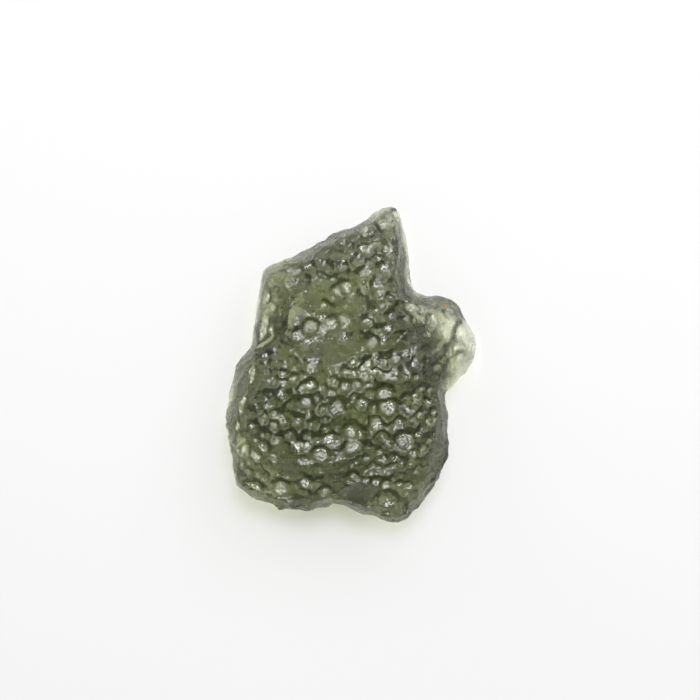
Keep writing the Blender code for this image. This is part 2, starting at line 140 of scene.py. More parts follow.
# Broad hollows and lumps of the top: x, y, radius and depth, where a lump has a depth below nought
hollows = [
    (-24, 38, 40, 15), (2, 74, 19, 8), (-52, 28, 12, 6), (16, -158, 38, 15), (38, -38, 22, 8),
    (40, -62, 26, 6), (2, -70, 24, 8), (-66, -128, 22, 7), (30, -104, 24, 6), (-66, -54, 22, 5),
    (90, 36, 22, 6), (52, 50, 16, 6), (24, 100, 22, 6), (-40, -20, 22, 4), (62, -10, 22, -7),
    (68, 12, 18, -4), (-96, 40, 20, -3), (-50, 104, 20, -3), (-20, 8, 20, -3), (70, -70, 20, -4),
    (-50, -92, 24, -4),
]

# Grooves and crests of the top: half width, depth (below nought for a crest) and the line that each follows
creases = [
    (5, 7, [(-104, 14), (-88, 16), (-80, 20), (-72, 30)]),
    (8, 8, [(40, 14), (52, 28), (62, 38), (70, 50)]),
    (8, 5, [(-92, 8), (-94, -12), (-102, -32), (-106, -52), (-108, -66), (-100, -82), (-88, -94)]),
    (7, -4, [(-88, -90), (-74, -98), (-50, -100), (-24, -100), (-4, -94)]),
    (9, 6, [(-80, -110), (-50, -113), (-24, -112)]),
    (5, -4, [(-12, -130), (-4, -122), (8, -119), (20, -119), (30, -123), (38, -130), (44, -134)]),
    (6, -5, [(108, 46), (100, 30), (98, 22), (88, 12), (80, 6), (70, -12)]),
    (6, 5, [(50, 112), (51, 100), (51, 88)]),
    (6, -4, [(50, 66), (56, 61), (64, 60), (70, 62), (80, 66)]),
    (7, -3, [(-24, 118), (-34, 108), (-44, 104), (-60, 102), (-74, 98)]),
    (6, 5, [(28, -68), (44, -84), (60, -100), (70, -108)]),
    (6, 4, [(52, -38), (66, -52), (84, -66)]),
    (6, -4, [(-4, 86), (6, 86), (12, 76), (12, 64)]),
    (6, -4, [(-54, 62), (-60, 48), (-62, 30), (-58, 12)]),
    (6, -4, [(2, 52), (12, 42), (13, 28), (8, 16)]),
    (6, 4, [(80, 61), (92, 58), (103, 53), (110, 46)]),
]

# Pits of the top whose floors catch the light: x, y and radius of the bright floor
litPits = [
    (-52, 94, 6), (-72, 96, 4), (-42, 98, 4), (-26, 100, 3), (-6, 98, 3), (-18, 120, 3), (-14, 124, 3),
    (-6, 120, 3), (0, 118, 3), (22, 130, 3), (16, 128, 3), (34, 138, 4), (14, 114, 4), (18, 112, 2.5),
    (36, 116, 3), (14, 90, 4), (28, 78, 5), (30, 70, 3), (32, 58, 3), (42, 46, 4), (60, 56, 4),
    (16, 42, 3), (38, 36, 4), (23, 21, 5), (52, 80, 3), (-4, 76, 5), (-12, 72, 4), (-26, 58, 3),
    (-40, 36, 6), (-16, 40, 5), (-4, 42, 6), (-52, 28, 5), (-36, 2, 6), (-84, 8, 4), (-84, 2, 4),
    (-72, 2, 2.5), (-82, -8, 3), (-76, -6, 2), (-64, -8, 2), (-64, -18, 3), (-46, -24, 2), (-38, -20, 4),
    (-4, -22, 4), (-4, -8, 3), (8, -20, 3), (18, 0, 3), (14, -4, 3), (-42, -38, 5), (-32, -34, 2.5),
    (-12, -42, 6), (12, -38, 4), (-26, -44, 2.5), (-74, -48, 2.5), (-84, -52, 2), (-50, -56, 2.5),
    (-40, -48, 2), (-74, -60, 2.5), (-22, -66, 3), (-20, -74, 5), (2, -66, 6), (10, -68, 3), (2, -82, 5),
    (8, -80, 4), (22, -84, 2.5), (-94, -76, 3), (-86, -82, 5), (-50, -80, 4), (-44, -80, 3),
    (-28, -88, 6), (26, -58, 5), (50, -58, 3.5), (32, -72, 4), (38, -78, 4), (30, -88, 4), (32, -94, 4),
    (16, -94, 3), (56, -76, 8), (44, -94, 4), (44, -102, 4), (24, -102, 3), (28, -104, 3), (38, -104, 3),
    (52, -98, 2.5), (6, -98, 2.5), (12, -102, 2), (16, -106, 2.5), (26, -118, 4), (16, -118, 4),
    (36, -120, 4), (50, -120, 3), (58, -122, 4), (4, -112, 4), (46, 6, 4), (46, -8, 3), (46, -14, 3),
    (64, 0, 4), (78, 2, 3), (86, -4, 3), (74, -10, 3), (66, -14, 3), (-68, -124, 7), (-44, -118, 5),
    (-50, -112, 2.5), (-54, -122, 3), (-30, -106, 5), (-62, -112, 3), (-46, -128, 3), (-118, -70, 3),
    (-114, -50, 3), (-104, 4, 3), (-102, -2, 3), (-118, -94, 3), (-104, -84, 3), (38, -42, 7),
    (36, -30, 6), (38, -136, 8), (38, -152, 4), (-8, -138, 4), (100, 52, 5), (114, 30, 8), (106, 16, 3),
    (110, 6, 3), (94, -98, 3), (-84, 68, 5), (-76, 56, 3), (-88, 34, 8), (-84, 42, 4), (-78, 34, 4),
    (-94, -124, 6), (-102, -122, 4), (56, -34, 3), (65, -32, 3), (52, -42, 2.5), (57, -46, 3),
    (62, -40, 2.5), (71, -26, 3), (79, -27, 3), (78, -39, 3.5), (78, -57, 3), (67, -70, 3.5),
    (63, -89, 4), (59, -98, 3), (72, -84, 3), (84, -48, 3), (86, -70, 3), (70, -50, 2.5), (-108, -100, 3),
    (-100, -108, 3), (-112, -60, 2.5), (-90, -92, 3), (-96, -62, 3), (-98, -48, 2.5), (-70, -110, 3),
    (-14, -132, 3), (-24, -126, 3.5),
]
litPit = {
    "reach": 1.4,               # radius of the pit round a bright floor: this share of it, and this much more
    "margin": 3,
    "deep": 0.42,
    "smoothest": 0.35,          # depth left in a smooth place
    "lean": (0.02, 0.16),       # slope of the floor, down to the right and down to the top
    "flatten": 0.88,
    "edge": 1.65,               # where the level floor ends, as a share of its radius, and how softly
    "edgeWidth": 0.85,
    "search": 1.7,
    "core": 0.7,
    "upward": 0.3,              # only faces that look up at least this much are levelled
    "fewest": 4,
    "wobble": 2,
    "most": 9,
}

# Etched bowls that cover every side: radius from and to, how far apart, depth as a share of the radius
bowls = [
    {"radius": (10, 17), "gap": 0.66, "deep": 0.32, "tries": 2500},
    {"radius": (5, 10), "gap": 0.66, "deep": 0.38, "tries": 12000},
]
fineBowls = [{"radius": (2.4, 4.6), "gap": 0.64, "deep": 0.22, "tries": 34000}]

# Places where the stone is thin, hollowed from below: x, y, radius and the share of the thickness gone
thinPlaces = [
    (110, 20, 44, 0.45), (-92, 48, 34, 0.3), (-122, -46, 30, 0.16), (54, 126, 32, 0.25), (64, 66, 24, 0.2),
    (-112, -100, 34, 0.16),
]

# Places of the top that are smoother than the rest: x, y, radius and the share of the etching left
smoothPlaces = [
    (-84, 44, 24, 0.1), (-88, 24, 14, 0.2), (-72, 70, 20, 0.4), (-32, 4, 26, 0.45), (-24, 36, 36, 0.4),
    (62, -10, 22, 0.45), (76, 12, 18, 0.35), (92, 36, 20, 0.2), (112, 22, 16, 0.4), (16, -138, 26, 0.3),
    (-40, 58, 18, 0.5), (-50, -96, 22, 0.4), (-10, -96, 20, 0.5), (-104, -40, 14, 0.4),
    (-98, -8, 12, 0.4), (52, 104, 14, 0.15), (50, 124, 12, 0.15), (48, 84, 10, 0.3), (-54, 112, 16, 0.3),
    (-80, 98, 12, 0.3), (-24, 128, 10, 0.3), (0, 134, 12, 0.3), (24, 148, 10, 0.3), (108, -4, 14, 0.4),
    (-96, 8, 12, 0.4),
]

# Short straight furrows, each group lying one way: degrees, length, half width, depth and their middles
furrows = [
    (-44, 18, 5, 3, [(60, -42), (80, -44), (66, -60), (88, -60), (48, -74), (72, -82), (36, -88), (58, -96)]),
    (-118, 20, 3, 3, [(80, -108), (74, -120), (86, -100)]),
    (96, 20, 3, 2.5, [(18, -136), (25, -139), (32, -141)]),
    (112, 14, 2, -2.6, [(20, -139), (25, -140), (30, -141)]),
    (80, 16, 5, 3, [(-78, -122), (-58, -126), (-36, -124), (-14, -122)]),
]


def walked(points, spacing, closed):
    # the line through the points, cut into even short runs
    ends = list(points) + ([points[0]] if closed else [])
    runs = []
    for start, end in zip(np.array(ends[:-1], float), np.array(ends[1:], float)):
        count = max(1, round(float(np.linalg.norm(end - start)) / spacing))
        share = np.linspace(0, 1, count, endpoint=False)[:, None]
        runs.append(start + (end - start) * share)
    if not closed:
        runs.append(np.array([ends[-1]], float))
    return np.concatenate(runs)


def softOutline():
    line = walked(outline, stone["outlineSpacing"], True)
    shifts = range(-stone["outlineBlur"], stone["outlineBlur"] + 1)
    return sum(np.roll(line, shift, axis=0) for shift in shifts) / len(shifts)


def around(table, angle):
    degrees, values = zip(*table)
    return np.interp(np.degrees(angle) % 360, degrees, values, period=360)


def treeOf(points):
    tree = KDTree(len(points))
    for index, point in enumerate(points):
        tree.insert(point, index)
    tree.balance()
    return tree


def outlineDistance(x, y):
    tree = treeOf([(a, b, 0) for a, b in softOutline()])
    return np.array([tree.find((a, b, 0))[2] for a, b in zip(x, y)])


def eased(share):
    share = np.clip(share, 0, 1)
    return share * share * (3 - 2 * share)


def crownHeight(x, y):
    # a thin plate bent through the heights of the crown
    known = np.array(crown, float)

    def bend(span):
        return np.where(span > 0, span**2 * np.log(np.maximum(span, 1e-9)), 0)

    gaps = np.linalg.norm(known[:, None, :2] - known[None, :, :2], axis=2)
    flat = np.column_stack([np.ones(len(known)), known[:, :2]])
    system = np.block([[bend(gaps), flat], [flat.T, np.zeros((3, 3))]])
    weights = np.linalg.solve(system, np.concatenate([known[:, 2], np.zeros(3)]))
    height = weights[-3] + weights[-2] * x + weights[-1] * y
    for point, weight in zip(known, weights):
        height = height + weight * bend(np.hypot(x - point[0], y - point[1]))
    return height * tall


def flatSpan(x, y):
    # how far out from the middle of the flat spot, where its border is 1
    across = (x - stone["flatMiddle"][0]) * 2 / flatSize[0]
    along = (y - stone["flatMiddle"][1]) * 2 / flatSize[1]
    turn = np.arctan2(along, across)
    border = 1
    for high, count, start in stone["flatBumps"]:
        border = border + high * np.sin(count * turn + start)
    return np.hypot(across, along) * border


def rounding(inset, width):
    return np.sqrt(1 - (1 - np.clip(inset / width, 0, 1)) ** 2)


def bodyHeights(x, y, inset):
    # the plain body: bevelled above, bowl-shaped below
    angle = np.arctan2(y - stone["middle"][1], x - stone["middle"][0])
    rim = around(rimHeight, angle) * tall
    bevel = np.clip(inset / around(bevelWidth, angle), 0, 1)
    dome = 1 - (1 - np.clip(inset / stone["domeWidth"], 0, 1)) ** stone["domeBend"]
    rise = stone["bevelShare"] * bevel + stone["roundShare"] * rounding(inset, stone["roundWidth"])
    rise = rise + (1 - stone["bevelShare"] - stone["roundShare"]) * dome
    top = rim + (crownHeight(x, y) - rim) * rise

    bowl = 1 - (1 - np.clip(inset / stone["bellyWidth"], 0, 1)) ** 2
    (waveAcross, turnAcross), (waveAlong, turnAlong) = stone["bellyWaves"]
    swell = 0.5 + 0.5 * np.sin(x / waveAcross + turnAcross) * np.cos(y / waveAlong + turnAlong)
    curl = rounding(inset, stone["underRoundWidth"])
    drop = (1 - stone["underRoundShare"]) * bowl + stone["underRoundShare"] * curl
    under = rim * (1 - drop) + stone["bellyLift"] * tall * bowl * swell
    span = flatSpan(x, y)
    sole = eased((stone["flatReach"] - span) / (stone["flatReach"] - stone["flatBlend"]))
    under = under * (1 - sole) + stone["flatDip"] * (np.minimum(span, stone["flatReach"]) ** 2 - 1) * sole
    gone = np.zeros(len(x))
    full, fall = stone["thinFade"]
    for centreX, centreY, radius, share in thinPlaces:
        gone = np.maximum(gone, share * eased(full - fall * np.hypot(x - centreX, y - centreY) / radius))
    gone = gone * eased(inset / stone["underRoundWidth"]) * (1 - sole)
    return top, under + (top - under) * gone


def bodyShape(ball):
    # a unit ball pulled out to the plain body
    middle = stone["middle"]
    line = softOutline() - middle
    lineAngle = np.arctan2(line[:, 1], line[:, 0])
    order = np.argsort(lineAngle)
    lineReach = np.hypot(line[:, 0], line[:, 1])[order]
    angle = np.arctan2(ball[:, 1], ball[:, 0])
    share = np.clip(np.hypot(ball[:, 0], ball[:, 1]), 0, 1)
    reach = share * np.interp(angle, lineAngle[order], lineReach, period=2 * math.pi)
    x = middle[0] + reach * np.cos(angle)
    y = middle[1] + reach * np.sin(angle)
    inset = np.where(share > 0.999999, 0, outlineDistance(x, y))    # the ball's rim is the outline itself
    top, under = bodyHeights(x, y, inset)
    return np.column_stack([x, y, np.where(ball[:, 2] >= 0, top, under)])


def readPlaces(mesh):
    values = np.empty(len(mesh.vertices) * 3)
    mesh.vertices.foreach_get("co", values)
    return values.reshape(-1, 3)


def readFacing(mesh):
    values = np.empty(len(mesh.vertices) * 3)
    mesh.vertex_normals.foreach_get("vector", values)
    return values.reshape(-1, 3)


def moveTo(mesh, places):
    mesh.vertices.foreach_set("co", places.ravel())
    mesh.update()


def bodyMesh():
    ball = bmesh.new()
    bmesh.ops.create_uvsphere(ball, u_segments=stone["ball"][0], v_segments=stone["ball"][1], radius=1)
    mesh = bpy.data.meshes.new("body")
    ball.to_mesh(mesh)
    ball.free()
    moveTo(mesh, bodyShape(readPlaces(mesh)) * step)
    body = bpy.data.objects.new("body", mesh)
    bpy.context.scene.collection.objects.link(body)
    net = body.modifiers.new("even net", "REMESH")
    net.mode = "VOXEL"
    net.voxel_size = stone["grain"] * step
    even = bpy.data.meshes.new_from_object(body.evaluated_get(bpy.context.evaluated_depsgraph_get()))
    bpy.data.objects.remove(body)
    return even


def furrowLines():
    lines = []
    for turn, length, halfWidth, deep, middles in furrows:
        east = math.cos(math.radians(turn)) * length / 2
        north = math.sin(math.radians(turn)) * length / 2
        for x, y in middles:
            lines.append((halfWidth, deep, [(x - east, y - north), (x + east, y + north)]))
    return lines


def creaseDepth(x, y):
    depth = np.zeros(len(x))
    quick, least = stone["grooveEnds"]
    for halfWidth, deep, points in creases + furrowLines():
        line = walked(points, stone["grooveSpacing"], False)
        span = np.hypot(x[:, None] - line[None, :, 0], y[:, None] - line[None, :, 1])
        along = np.argmin(span, axis=1) / (len(line) - 1)
        fade = eased(np.minimum(along, 1 - along) * quick + least)
        depth = depth + deep * fade * np.clip(1 - span.min(axis=1) / halfWidth, 0, 1) ** stone["grooveBend"]
    return depth


def hollowDepth(x, y):
    depth = np.zeros(len(x))
    for centreX, centreY, radius, deep in hollows:
        span = np.hypot(x - centreX, y - centreY) / radius
        if deep > 0:
            depth = np.maximum(depth, deep * (1 - span**2))
        else:
            depth = depth + deep * eased(1 - span)
    return depth


def waves(places, size):
    return np.array([noise.noise(Vector(place) / size) for place in places])


def smoothness(spot):
    # the share of the etching left at this spot
    left = 1
    for x, y, radius, share in smoothPlaces:
        near = float(eased(stone["smoothFade"] - math.hypot(spot[0] - x, spot[1] - y) / radius))
        left = min(left, 1 - (1 - share) * near)
    return left


def bowlSeeds(kinds, taken, draw):
    # centre, radius and depth of each bowl, spread over the plain body so that they just meet
    room = len(taken) + sum(kind["tries"] for kind in kinds)
    seeds = np.zeros((room, 5))
    count = len(taken)
    seeds[:count] = taken
    for kind in kinds:
        ball = draw.normal(size=(kind["tries"], 3))
        spots = bodyShape(ball / np.linalg.norm(ball, axis=1)[:, None])
        radii = draw.uniform(*kind["radius"], size=kind["tries"])
        depths = kind["deep"] * draw.uniform(*stone["bowlDepths"], size=kind["tries"])
        for spot, radius, deep in zip(spots, radii, depths):
            if spot[2] < stone["underHeight"] and flatSpan(spot[0], spot[1]) < stone["flatClear"]:
                continue
            gaps = np.linalg.norm(seeds[:count, :3] - spot, axis=1)
            if (gaps < kind["gap"] * (seeds[:count, 3] + radius)).any():
                continue
            share = smoothness(spot) if spot[2] > stone["topShare"] * tall else 1
            seeds[count] = (*spot, radius, deep * radius * share)
            count += 1
    return seeds[:count]


def litSeeds():
    # centre, radius and depth of the pit round each bright floor
    least = litPit["smoothest"]
    known = np.array(litPits, float)
    top, under = bodyHeights(known[:, 0], known[:, 1], outlineDistance(known[:, 0], known[:, 1]))
    radius = litPit["reach"] * known[:, 2] + litPit["margin"]
    deep = litPit["deep"] * radius * [least + (1 - least) * smoothness(spot) for spot in known]
    return list(zip(known[:, 0], known[:, 1], top, radius, deep))


def bowlDepth(tree, amount, seeds, ridge):
    # bowls that meet in sharp crests: at each place the one that cuts deepest counts
    depth = np.full(amount, -ridge)
    for x, y, z, radius, deep in seeds:
        found = tree.find_range((x, y, z), radius * (stone["bowlFade"] if ridge > 0 else 1))
        index = np.array([hit[1] for hit in found], int)
        span = np.array([hit[2] for hit in found]) / radius
        depth[index] = np.maximum(depth[index], deep * (1 - span**3))
    return depth


def levelFloors(places, facing, uneven):
    # the floor of each lit pit is turned towards the light, and where two meet the nearer one counts
    tree = treeOf([(x, y, 0) for x, y, z in places])
    level = places[:, 2].copy()
    pull = np.zeros(len(places))
    for x, y, floor in litPits:
        near = np.array([hit[1] for hit in tree.find_range((x, y, 0), floor * litPit["search"])], int)
        index = near[facing[near, 2] > litPit["upward"]]
        if len(index) < litPit["fewest"]:
            continue
        east = places[index, 0] - x
        north = places[index, 1] - y
        pulled = uneven[index] / litPit["wobble"]
        span = np.hypot(east + pulled[:, 0], north + pulled[:, 1]) / floor
        inner = index[span < litPit["core"]]
        core = places[inner if len(inner) else index, 2]
        wanted = core.mean() - litPit["lean"][0] * east - litPit["lean"][1] * north
        upward = eased((facing[index, 2] - litPit["upward"]) / litPit["upward"])
        share = litPit["flatten"] * eased((litPit["edge"] - span) / litPit["edgeWidth"]) * upward
        wins = share > pull[index]
        pull[index[wins]] = share[wins]
        level[index[wins]] = wanted[wins]
    places[:, 2] += np.clip((level - places[:, 2]) * pull, -litPit["most"], litPit["most"])


def neighbourMean(mesh, places):
    ends = np.empty(len(mesh.edges) * 2, int)
    mesh.edges.foreach_get("vertices", ends)
    starts, stops = ends[::2], ends[1::2]
    total = np.zeros_like(places)
    count = np.zeros(len(places))
    for one, other in ((starts, stops), (stops, starts)):
        np.add.at(total, one, places[other])
        np.add.at(count, one, 1)
    return total / np.maximum(count, 1)[:, None]


def marked(places, spots, streaks):
    # how much each point belongs to the round spots and the streaks
    x, y = places[:, 0], places[:, 1]
    most = np.zeros(len(places))
    for spotX, spotY, radius, share in spots:
        span = np.hypot(x - spotX, y - spotY) / radius
        most = np.maximum(most, share * eased(marks["edge"] - span))
    for halfWidth, share, points in streaks:
        line = walked(points, stone["grooveSpacing"], False)
        span = np.hypot(x[:, None] - line[None, :, 0], y[:, None] - line[None, :, 1]).min(axis=1)
        most = np.maximum(most, share * eased(marks["edge"] - span / halfWidth))
    return most


def cutRelief(mesh, places):
    # the broad hollows, lumps, grooves and crests of the top
    x, y = places[:, 0], places[:, 1]
    quick, late = stone["topTurn"]
    above = eased(readFacing(mesh)[:, 2] * quick - late)
    inland = eased(outlineDistance(x, y) / stone["rimGuard"])
    places[:, 2] -= (hollowDepth(x, y) + creaseDepth(x, y)) * above * inland
    moveTo(mesh, places * step)
    print("broad relief cut")


def cutBowls(mesh, plain, places, uneven):
    # the bowls and the fine bowls, and how deep the fine ones are at each point
    draw = np.random.default_rng(stone["seed"])
    facing = readFacing(mesh)
    bare, height = stone["soleGuard"]
    clear = eased((np.abs(places[:, 2]) - bare) / height)
    seeds = bowlSeeds(bowls, litSeeds(), draw)
    fineSeeds = bowlSeeds(fineBowls, np.zeros((0, 5)), draw)
    print(len(seeds), "bowls and", len(fineSeeds), "fine bowls")
    tree = treeOf(plain + uneven)
    steep = stone["sideBowls"] + (1 - stone["sideBowls"]) * eased(np.abs(facing[:, 2]) * stone["sideTurn"])
    swell = stone["swell"] * waves(places, stone["swellSize"])
    level = swell - steep * bowlDepth(tree, len(plain), seeds, stone["ridge"])
    places += facing * (clear * level)[:, None]
    moveTo(mesh, places * step)
    least, topFrom, topOver = stone["fineSides"]
    topShare = least + (1 - least) * eased((facing[:, 2] - topFrom) / topOver)
    fine = bowlDepth(tree, len(plain), fineSeeds, 0.0) * topShare
    places -= readFacing(mesh) * (clear * fine)[:, None]
    moveTo(mesh, places * step)
    return clear * fine


def bluntCrests(mesh, places):
    for turn in range(stone["bluntTurns"]):
        blunt = neighbourMean(mesh, places) - places
        stands = -(blunt * readFacing(mesh)).sum(axis=1)
        places += blunt * (stone["blunting"] * eased(stands / stone["sharpCrest"]))[:, None]
        moveTo(mesh, places * step)


def paintMarks(mesh, places, facing):
    # what the glass reads at each point: how sharp it is, its painted shade, its painted light and how rusty
    # it is
    last = readFacing(mesh)
    y = places[:, 1]
    turned = np.degrees(np.arccos(np.clip((last * facing).sum(axis=1), -1, 1)))
    shaded = np.degrees(np.arcsin(np.clip(facing[:, 1] - last[:, 1], -1, 1)))    # away from the light
    crest = ((places - neighbourMean(mesh, places)) * last).sum(axis=1)
    slope = marks["turned"] * turned + marks["shaded"] * shaded
    # deep: painted shade of the listed places and streaks
    deep = marked(places, paintedShadePlaces, paintedShadeLines)
    # painted light: paler along the rim, but not at the bottom edge nor at the tip, and in the listed pale
    # places and streaks
    rim = eased(1 - outlineDistance(places[:, 0], y) / marks["rimWidth"])
    paintedLight = marks["rim"] * rim * eased((y - marks["bottom"]) / marks["bottomFade"])
    paintedLight *= 1 - marks["tipLoss"] * eased((y - marks["tip"]) / marks["tipFade"])
    values = {
        "crest": eased(crest / stone["sharpCrest"]),
        # steep: painted shade on steep pit walls, on faces turned away from the light and in the listed shade
        # places
        "steep": np.maximum(eased((slope - marks["paintedShadeFrom"]) / marks["paintedShadeOver"]), deep),
        "paintedLight": np.maximum(paintedLight, marked(places, paintedLightPlaces, paintedLightLines)) * (1 - deep),
        "rust": marked(places, rustSpecks, []),
    }
    for name, value in values.items():
        mesh.attributes.new(name, "FLOAT", "POINT").data.foreach_set("value", value)


def etchedMesh():
    mesh = bodyMesh()
    print("body", len(mesh.vertices), "points")
    plain = readPlaces(mesh) / step
    places = plain.copy()
    cutRelief(mesh, places)
    facing = readFacing(mesh)
    pulls = [waves(plain + shift, stone["unevenSize"]) for shift in stone["unevenShifts"]]
    uneven = stone["uneven"] * np.column_stack(pulls)
    fine = cutBowls(mesh, plain, places, uneven)
    bluntCrests(mesh, places)
    levelFloors(places, facing, uneven)
    moveTo(mesh, places * step)
    places -= readFacing(mesh) * (stone["floorBowls"] * fine)[:, None]
    places[:, 2] = np.maximum(places[:, 2], 0)
    moveTo(mesh, places * step)
    paintMarks(mesh, places, facing)
    print("etching cut")
    return mesh


def addNode(tree, kind, **values):
    node = tree.nodes.new(kind)
    for name, value in values.items():
        if hasattr(node, name):
            setattr(node, name, value)
        else:
            node.inputs[name].default_value = value
    return node


# How much painted shade and painted light the glass gets with its shape, degrees first and then places
marks = {
    "turned": 0.45,             # what a degree off the plain body adds to the painted shade, and one turned away from the light
    "shaded": 0.8,
    "paintedShadeFrom": 4,
    "paintedShadeOver": 15,
    "rim": 0.6,                 # painted light along the rim, as light through the thin edge, which fades out at the bottom edge, the side away from the light, and at the tip
    "rimWidth": 18,
    "bottom": -110,
    "bottomFade": 50,
    "tip": 130,
    "tipFade": 15,
    "tipLoss": 0.6,
    "edge": 1.35,               # where a marked place ends, as a share of its radius
}

# Places painted paler, as painted light shining through thin glass: x, y, radius and how much
paintedLightPlaces = [
    (94, 34, 11, 1), (112, 28, 13, 1), (108, -4, 12, 0.7), (-84, 50, 20, 0.9), (-88, 28, 12, 1),
    (-116, -40, 12, 0.7), (-100, -86, 16, 0.6), (66, 54, 12, 0.6), (-4, 46, 8, 0.7), (-96, 0, 14, 0.5),
    (32, 60, 10, 0.4), (-100, -88, 12, 0.8), (0, -36, 30, 0.12),
]

# Painted light streaks, for light through thin glass and sheen on lit facets: half width, how much and the
# line that each follows
paintedLightLines = [
    (4, 0.9, [(-82, 46), (-81, 34), (-75, 23), (-66, 15), (-54, 11)]),
    (4, 0.9, [(-93, 8), (-99, -14), (-104, -36), (-106, -56), (-104, -74)]),
    (3, 0.8, [(2, 18), (7, 30), (8, 42), (5, 54)]),
    (3, 0.8, [(2, 62), (5, 74), (2, 88)]),
    (7, 0.8, [(-88, 88), (-68, 102), (-30, 118), (0, 132), (16, 140)]),
    (8, 0.9, [(54, 126), (53, 104), (50, 84)]),
    (4, 0.7, [(-84, -98), (-60, -104), (-34, -104), (-8, -96)]),
    (4, 0.6, [(-62, 88), (-66, 70), (-62, 56)]),
]

# Places and streaks painted darker as painted shade, in the same way
paintedShadePlaces = [
    (-52, -142, 14, 0.8), (-32, -140, 12, 0.8), (2, -134, 15, 0.8), (-14, -56, 9, 0.7), (-26, -78, 7, 0.6),
    (56, -64, 9, 0.5), (34, -81, 6, 0.5), (-2, -112, 9, 0.6), (32, -111, 8, 0.6), (88, 60, 8, 0.9),
    (100, 57, 7, 0.9), (112, 48, 5, 0.7), (78, 46, 6, 0.6), (66, 30, 9, 0.4),
    (50, 120, 8, 0.4), (16, -66, 7, 0.5), (70, -112, 8, 0.5), (30, 4, 8, 0.4), (8, -138, 12, 0.7),
    (26, -144, 10, 0.5), (118, 0, 12, 0.25), (-40, -124, 50, 0.3), (36, -122, 46, 0.3), (-14, -56, 16, 0.5),
    (-49, -102, 12, 0.4), (-59, -137, 14, 0.6), (-28, 28, 9, 0.4), (-38, 58, 9, 0.4), (11, -128, 12, 0.8),
]

paintedShadeLines = [
    (11, 0.9, [(78, 66), (92, 64), (104, 58), (112, 50)]),
    (9, 0.5, [(94, -60), (92, -98), (78, -126), (62, -148)]),
    (7, 0.6, [(-74, -142), (-44, -144), (-12, -138)]),
    (4, 0.7, [(-8, 98), (2, 104), (14, 104)]),
    (3, 0.6, [(-44, 70), (-38, 84), (-26, 90), (-12, 90)]),
]

# The one tiny rust-brown speck, near the top of the lobe
rustSpecks = [(95, 58, 2.4, 1)]

glassLook = {
    "tint": (0.86, 0.87, 0.75, 1),
    # painted light: the pale tint where light shines through thin glass and lights facets
    "paintedLightTint": (1, 1, 0.94, 1),
    # painted shade: the dark tint over steep pit walls, faces turned from the light and the listed dark
    # places
    "paintedShadeTint": (0.065, 0.075, 0.04, 1),
    "rustTint": (0.50, 0.16, 0.04, 1),
    "ior": 1.49,
    "absorbed": (0.505, 0.53, 0.36, 1),
    "density": 320,
    "roughness": (0.20, 0.38),
    "crestRoughness": 0.12,     # added on the crests
    "patchSize": 14,            # of the duller patches, in steps, as the other sizes are
    "patchDetail": 4,
    "patchRange": (0.35, 0.65),
    "etchSize": 3.0,
    "etchHeight": 0.000036,     # in metres, as the other heights are
    "etchSoftness": 0.25,
    "speckSize": 5.5,
    "speckHeight": 0.00004,
    "speckShare": 0.28,
    "frostSize": 1.5,
    "frostDetail": 3,
    "frostHeight": 0.000006,
}


def glassBumps(tree, places):
    # fine etching, sparse tiny pits that each throw one bright speck, and frost over both
    link = tree.links.new
    cells = addNode(tree, "ShaderNodeTexVoronoi", feature="SMOOTH_F1")
    cells.inputs["Scale"].default_value = 1 / (glassLook["etchSize"] * step)
    cells.inputs["Smoothness"].default_value = glassLook["etchSoftness"]
    dots = addNode(tree, "ShaderNodeTexVoronoi", Scale=1 / (glassLook["speckSize"] * step))
    frost = addNode(tree, "ShaderNodeTexNoise", Detail=glassLook["frostDetail"])
    frost.inputs["Scale"].default_value = 1 / (glassLook["frostSize"] * step)
    for node in (cells, dots, frost):
        link(places, node.inputs["Vector"])
    pit = addNode(tree, "ShaderNodeMapRange", interpolation_type="SMOOTHSTEP")
    pit.inputs["From Max"].default_value = glassLook["speckShare"]
    link(dots.outputs["Distance"], pit.inputs["Value"])
    heights = (
        (cells.outputs["Distance"], glassLook["etchHeight"]),
        (pit.outputs["Result"], glassLook["speckHeight"]),
        (frost.outputs["Fac"], glassLook["frostHeight"]),
    )
    bump = None
    for height, distance in heights:
        under = bump
        bump = addNode(tree, "ShaderNodeBump", Distance=distance)
        link(height, bump.inputs["Height"])
        if under:
            link(under.outputs["Normal"], bump.inputs["Normal"])
    return bump.outputs["Normal"]


def glassTint(tree):
    # each tint lies over the one before it, as far as its mark on the stone says: painted shade, then painted
    # light, then the rust speck
    under = None
    for mark, tint in (("steep", "paintedShadeTint"), ("paintedLight", "paintedLightTint"), ("rust", "rustTint")):
        share = addNode(tree, "ShaderNodeAttribute", attribute_name=mark)
        over = addNode(tree, "ShaderNodeMix", data_type="RGBA")
        tree.links.new(share.outputs["Fac"], over.inputs[0])
        if under:
            tree.links.new(under.outputs[2], over.inputs[6])
        else:
            over.inputs[6].default_value = glassLook["tint"]
        over.inputs[7].default_value = glassLook[tint]
        under = over
    return under.outputs[2]


def glassRoughness(tree, places):
    # duller in patches and on the crests
    link = tree.links.new
    patches = addNode(tree, "ShaderNodeTexNoise", Detail=glassLook["patchDetail"])
    patches.inputs["Scale"].default_value = 1 / (glassLook["patchSize"] * step)
    link(places, patches.inputs["Vector"])
    rough = addNode(tree, "ShaderNodeMapRange")
    rough.inputs["From Min"].default_value, rough.inputs["From Max"].default_value = glassLook["patchRange"]
    rough.inputs["To Min"].default_value, rough.inputs["To Max"].default_value = glassLook["roughness"]
    link(patches.outputs["Fac"], rough.inputs["Value"])
    crest = addNode(tree, "ShaderNodeAttribute", attribute_name="crest")
    dulled = addNode(tree, "ShaderNodeMath", operation="MULTIPLY_ADD")
    link(crest.outputs["Fac"], dulled.inputs[0])
    dulled.inputs[1].default_value = glassLook["crestRoughness"]
    link(rough.outputs["Result"], dulled.inputs[2])
    return dulled.outputs["Value"]


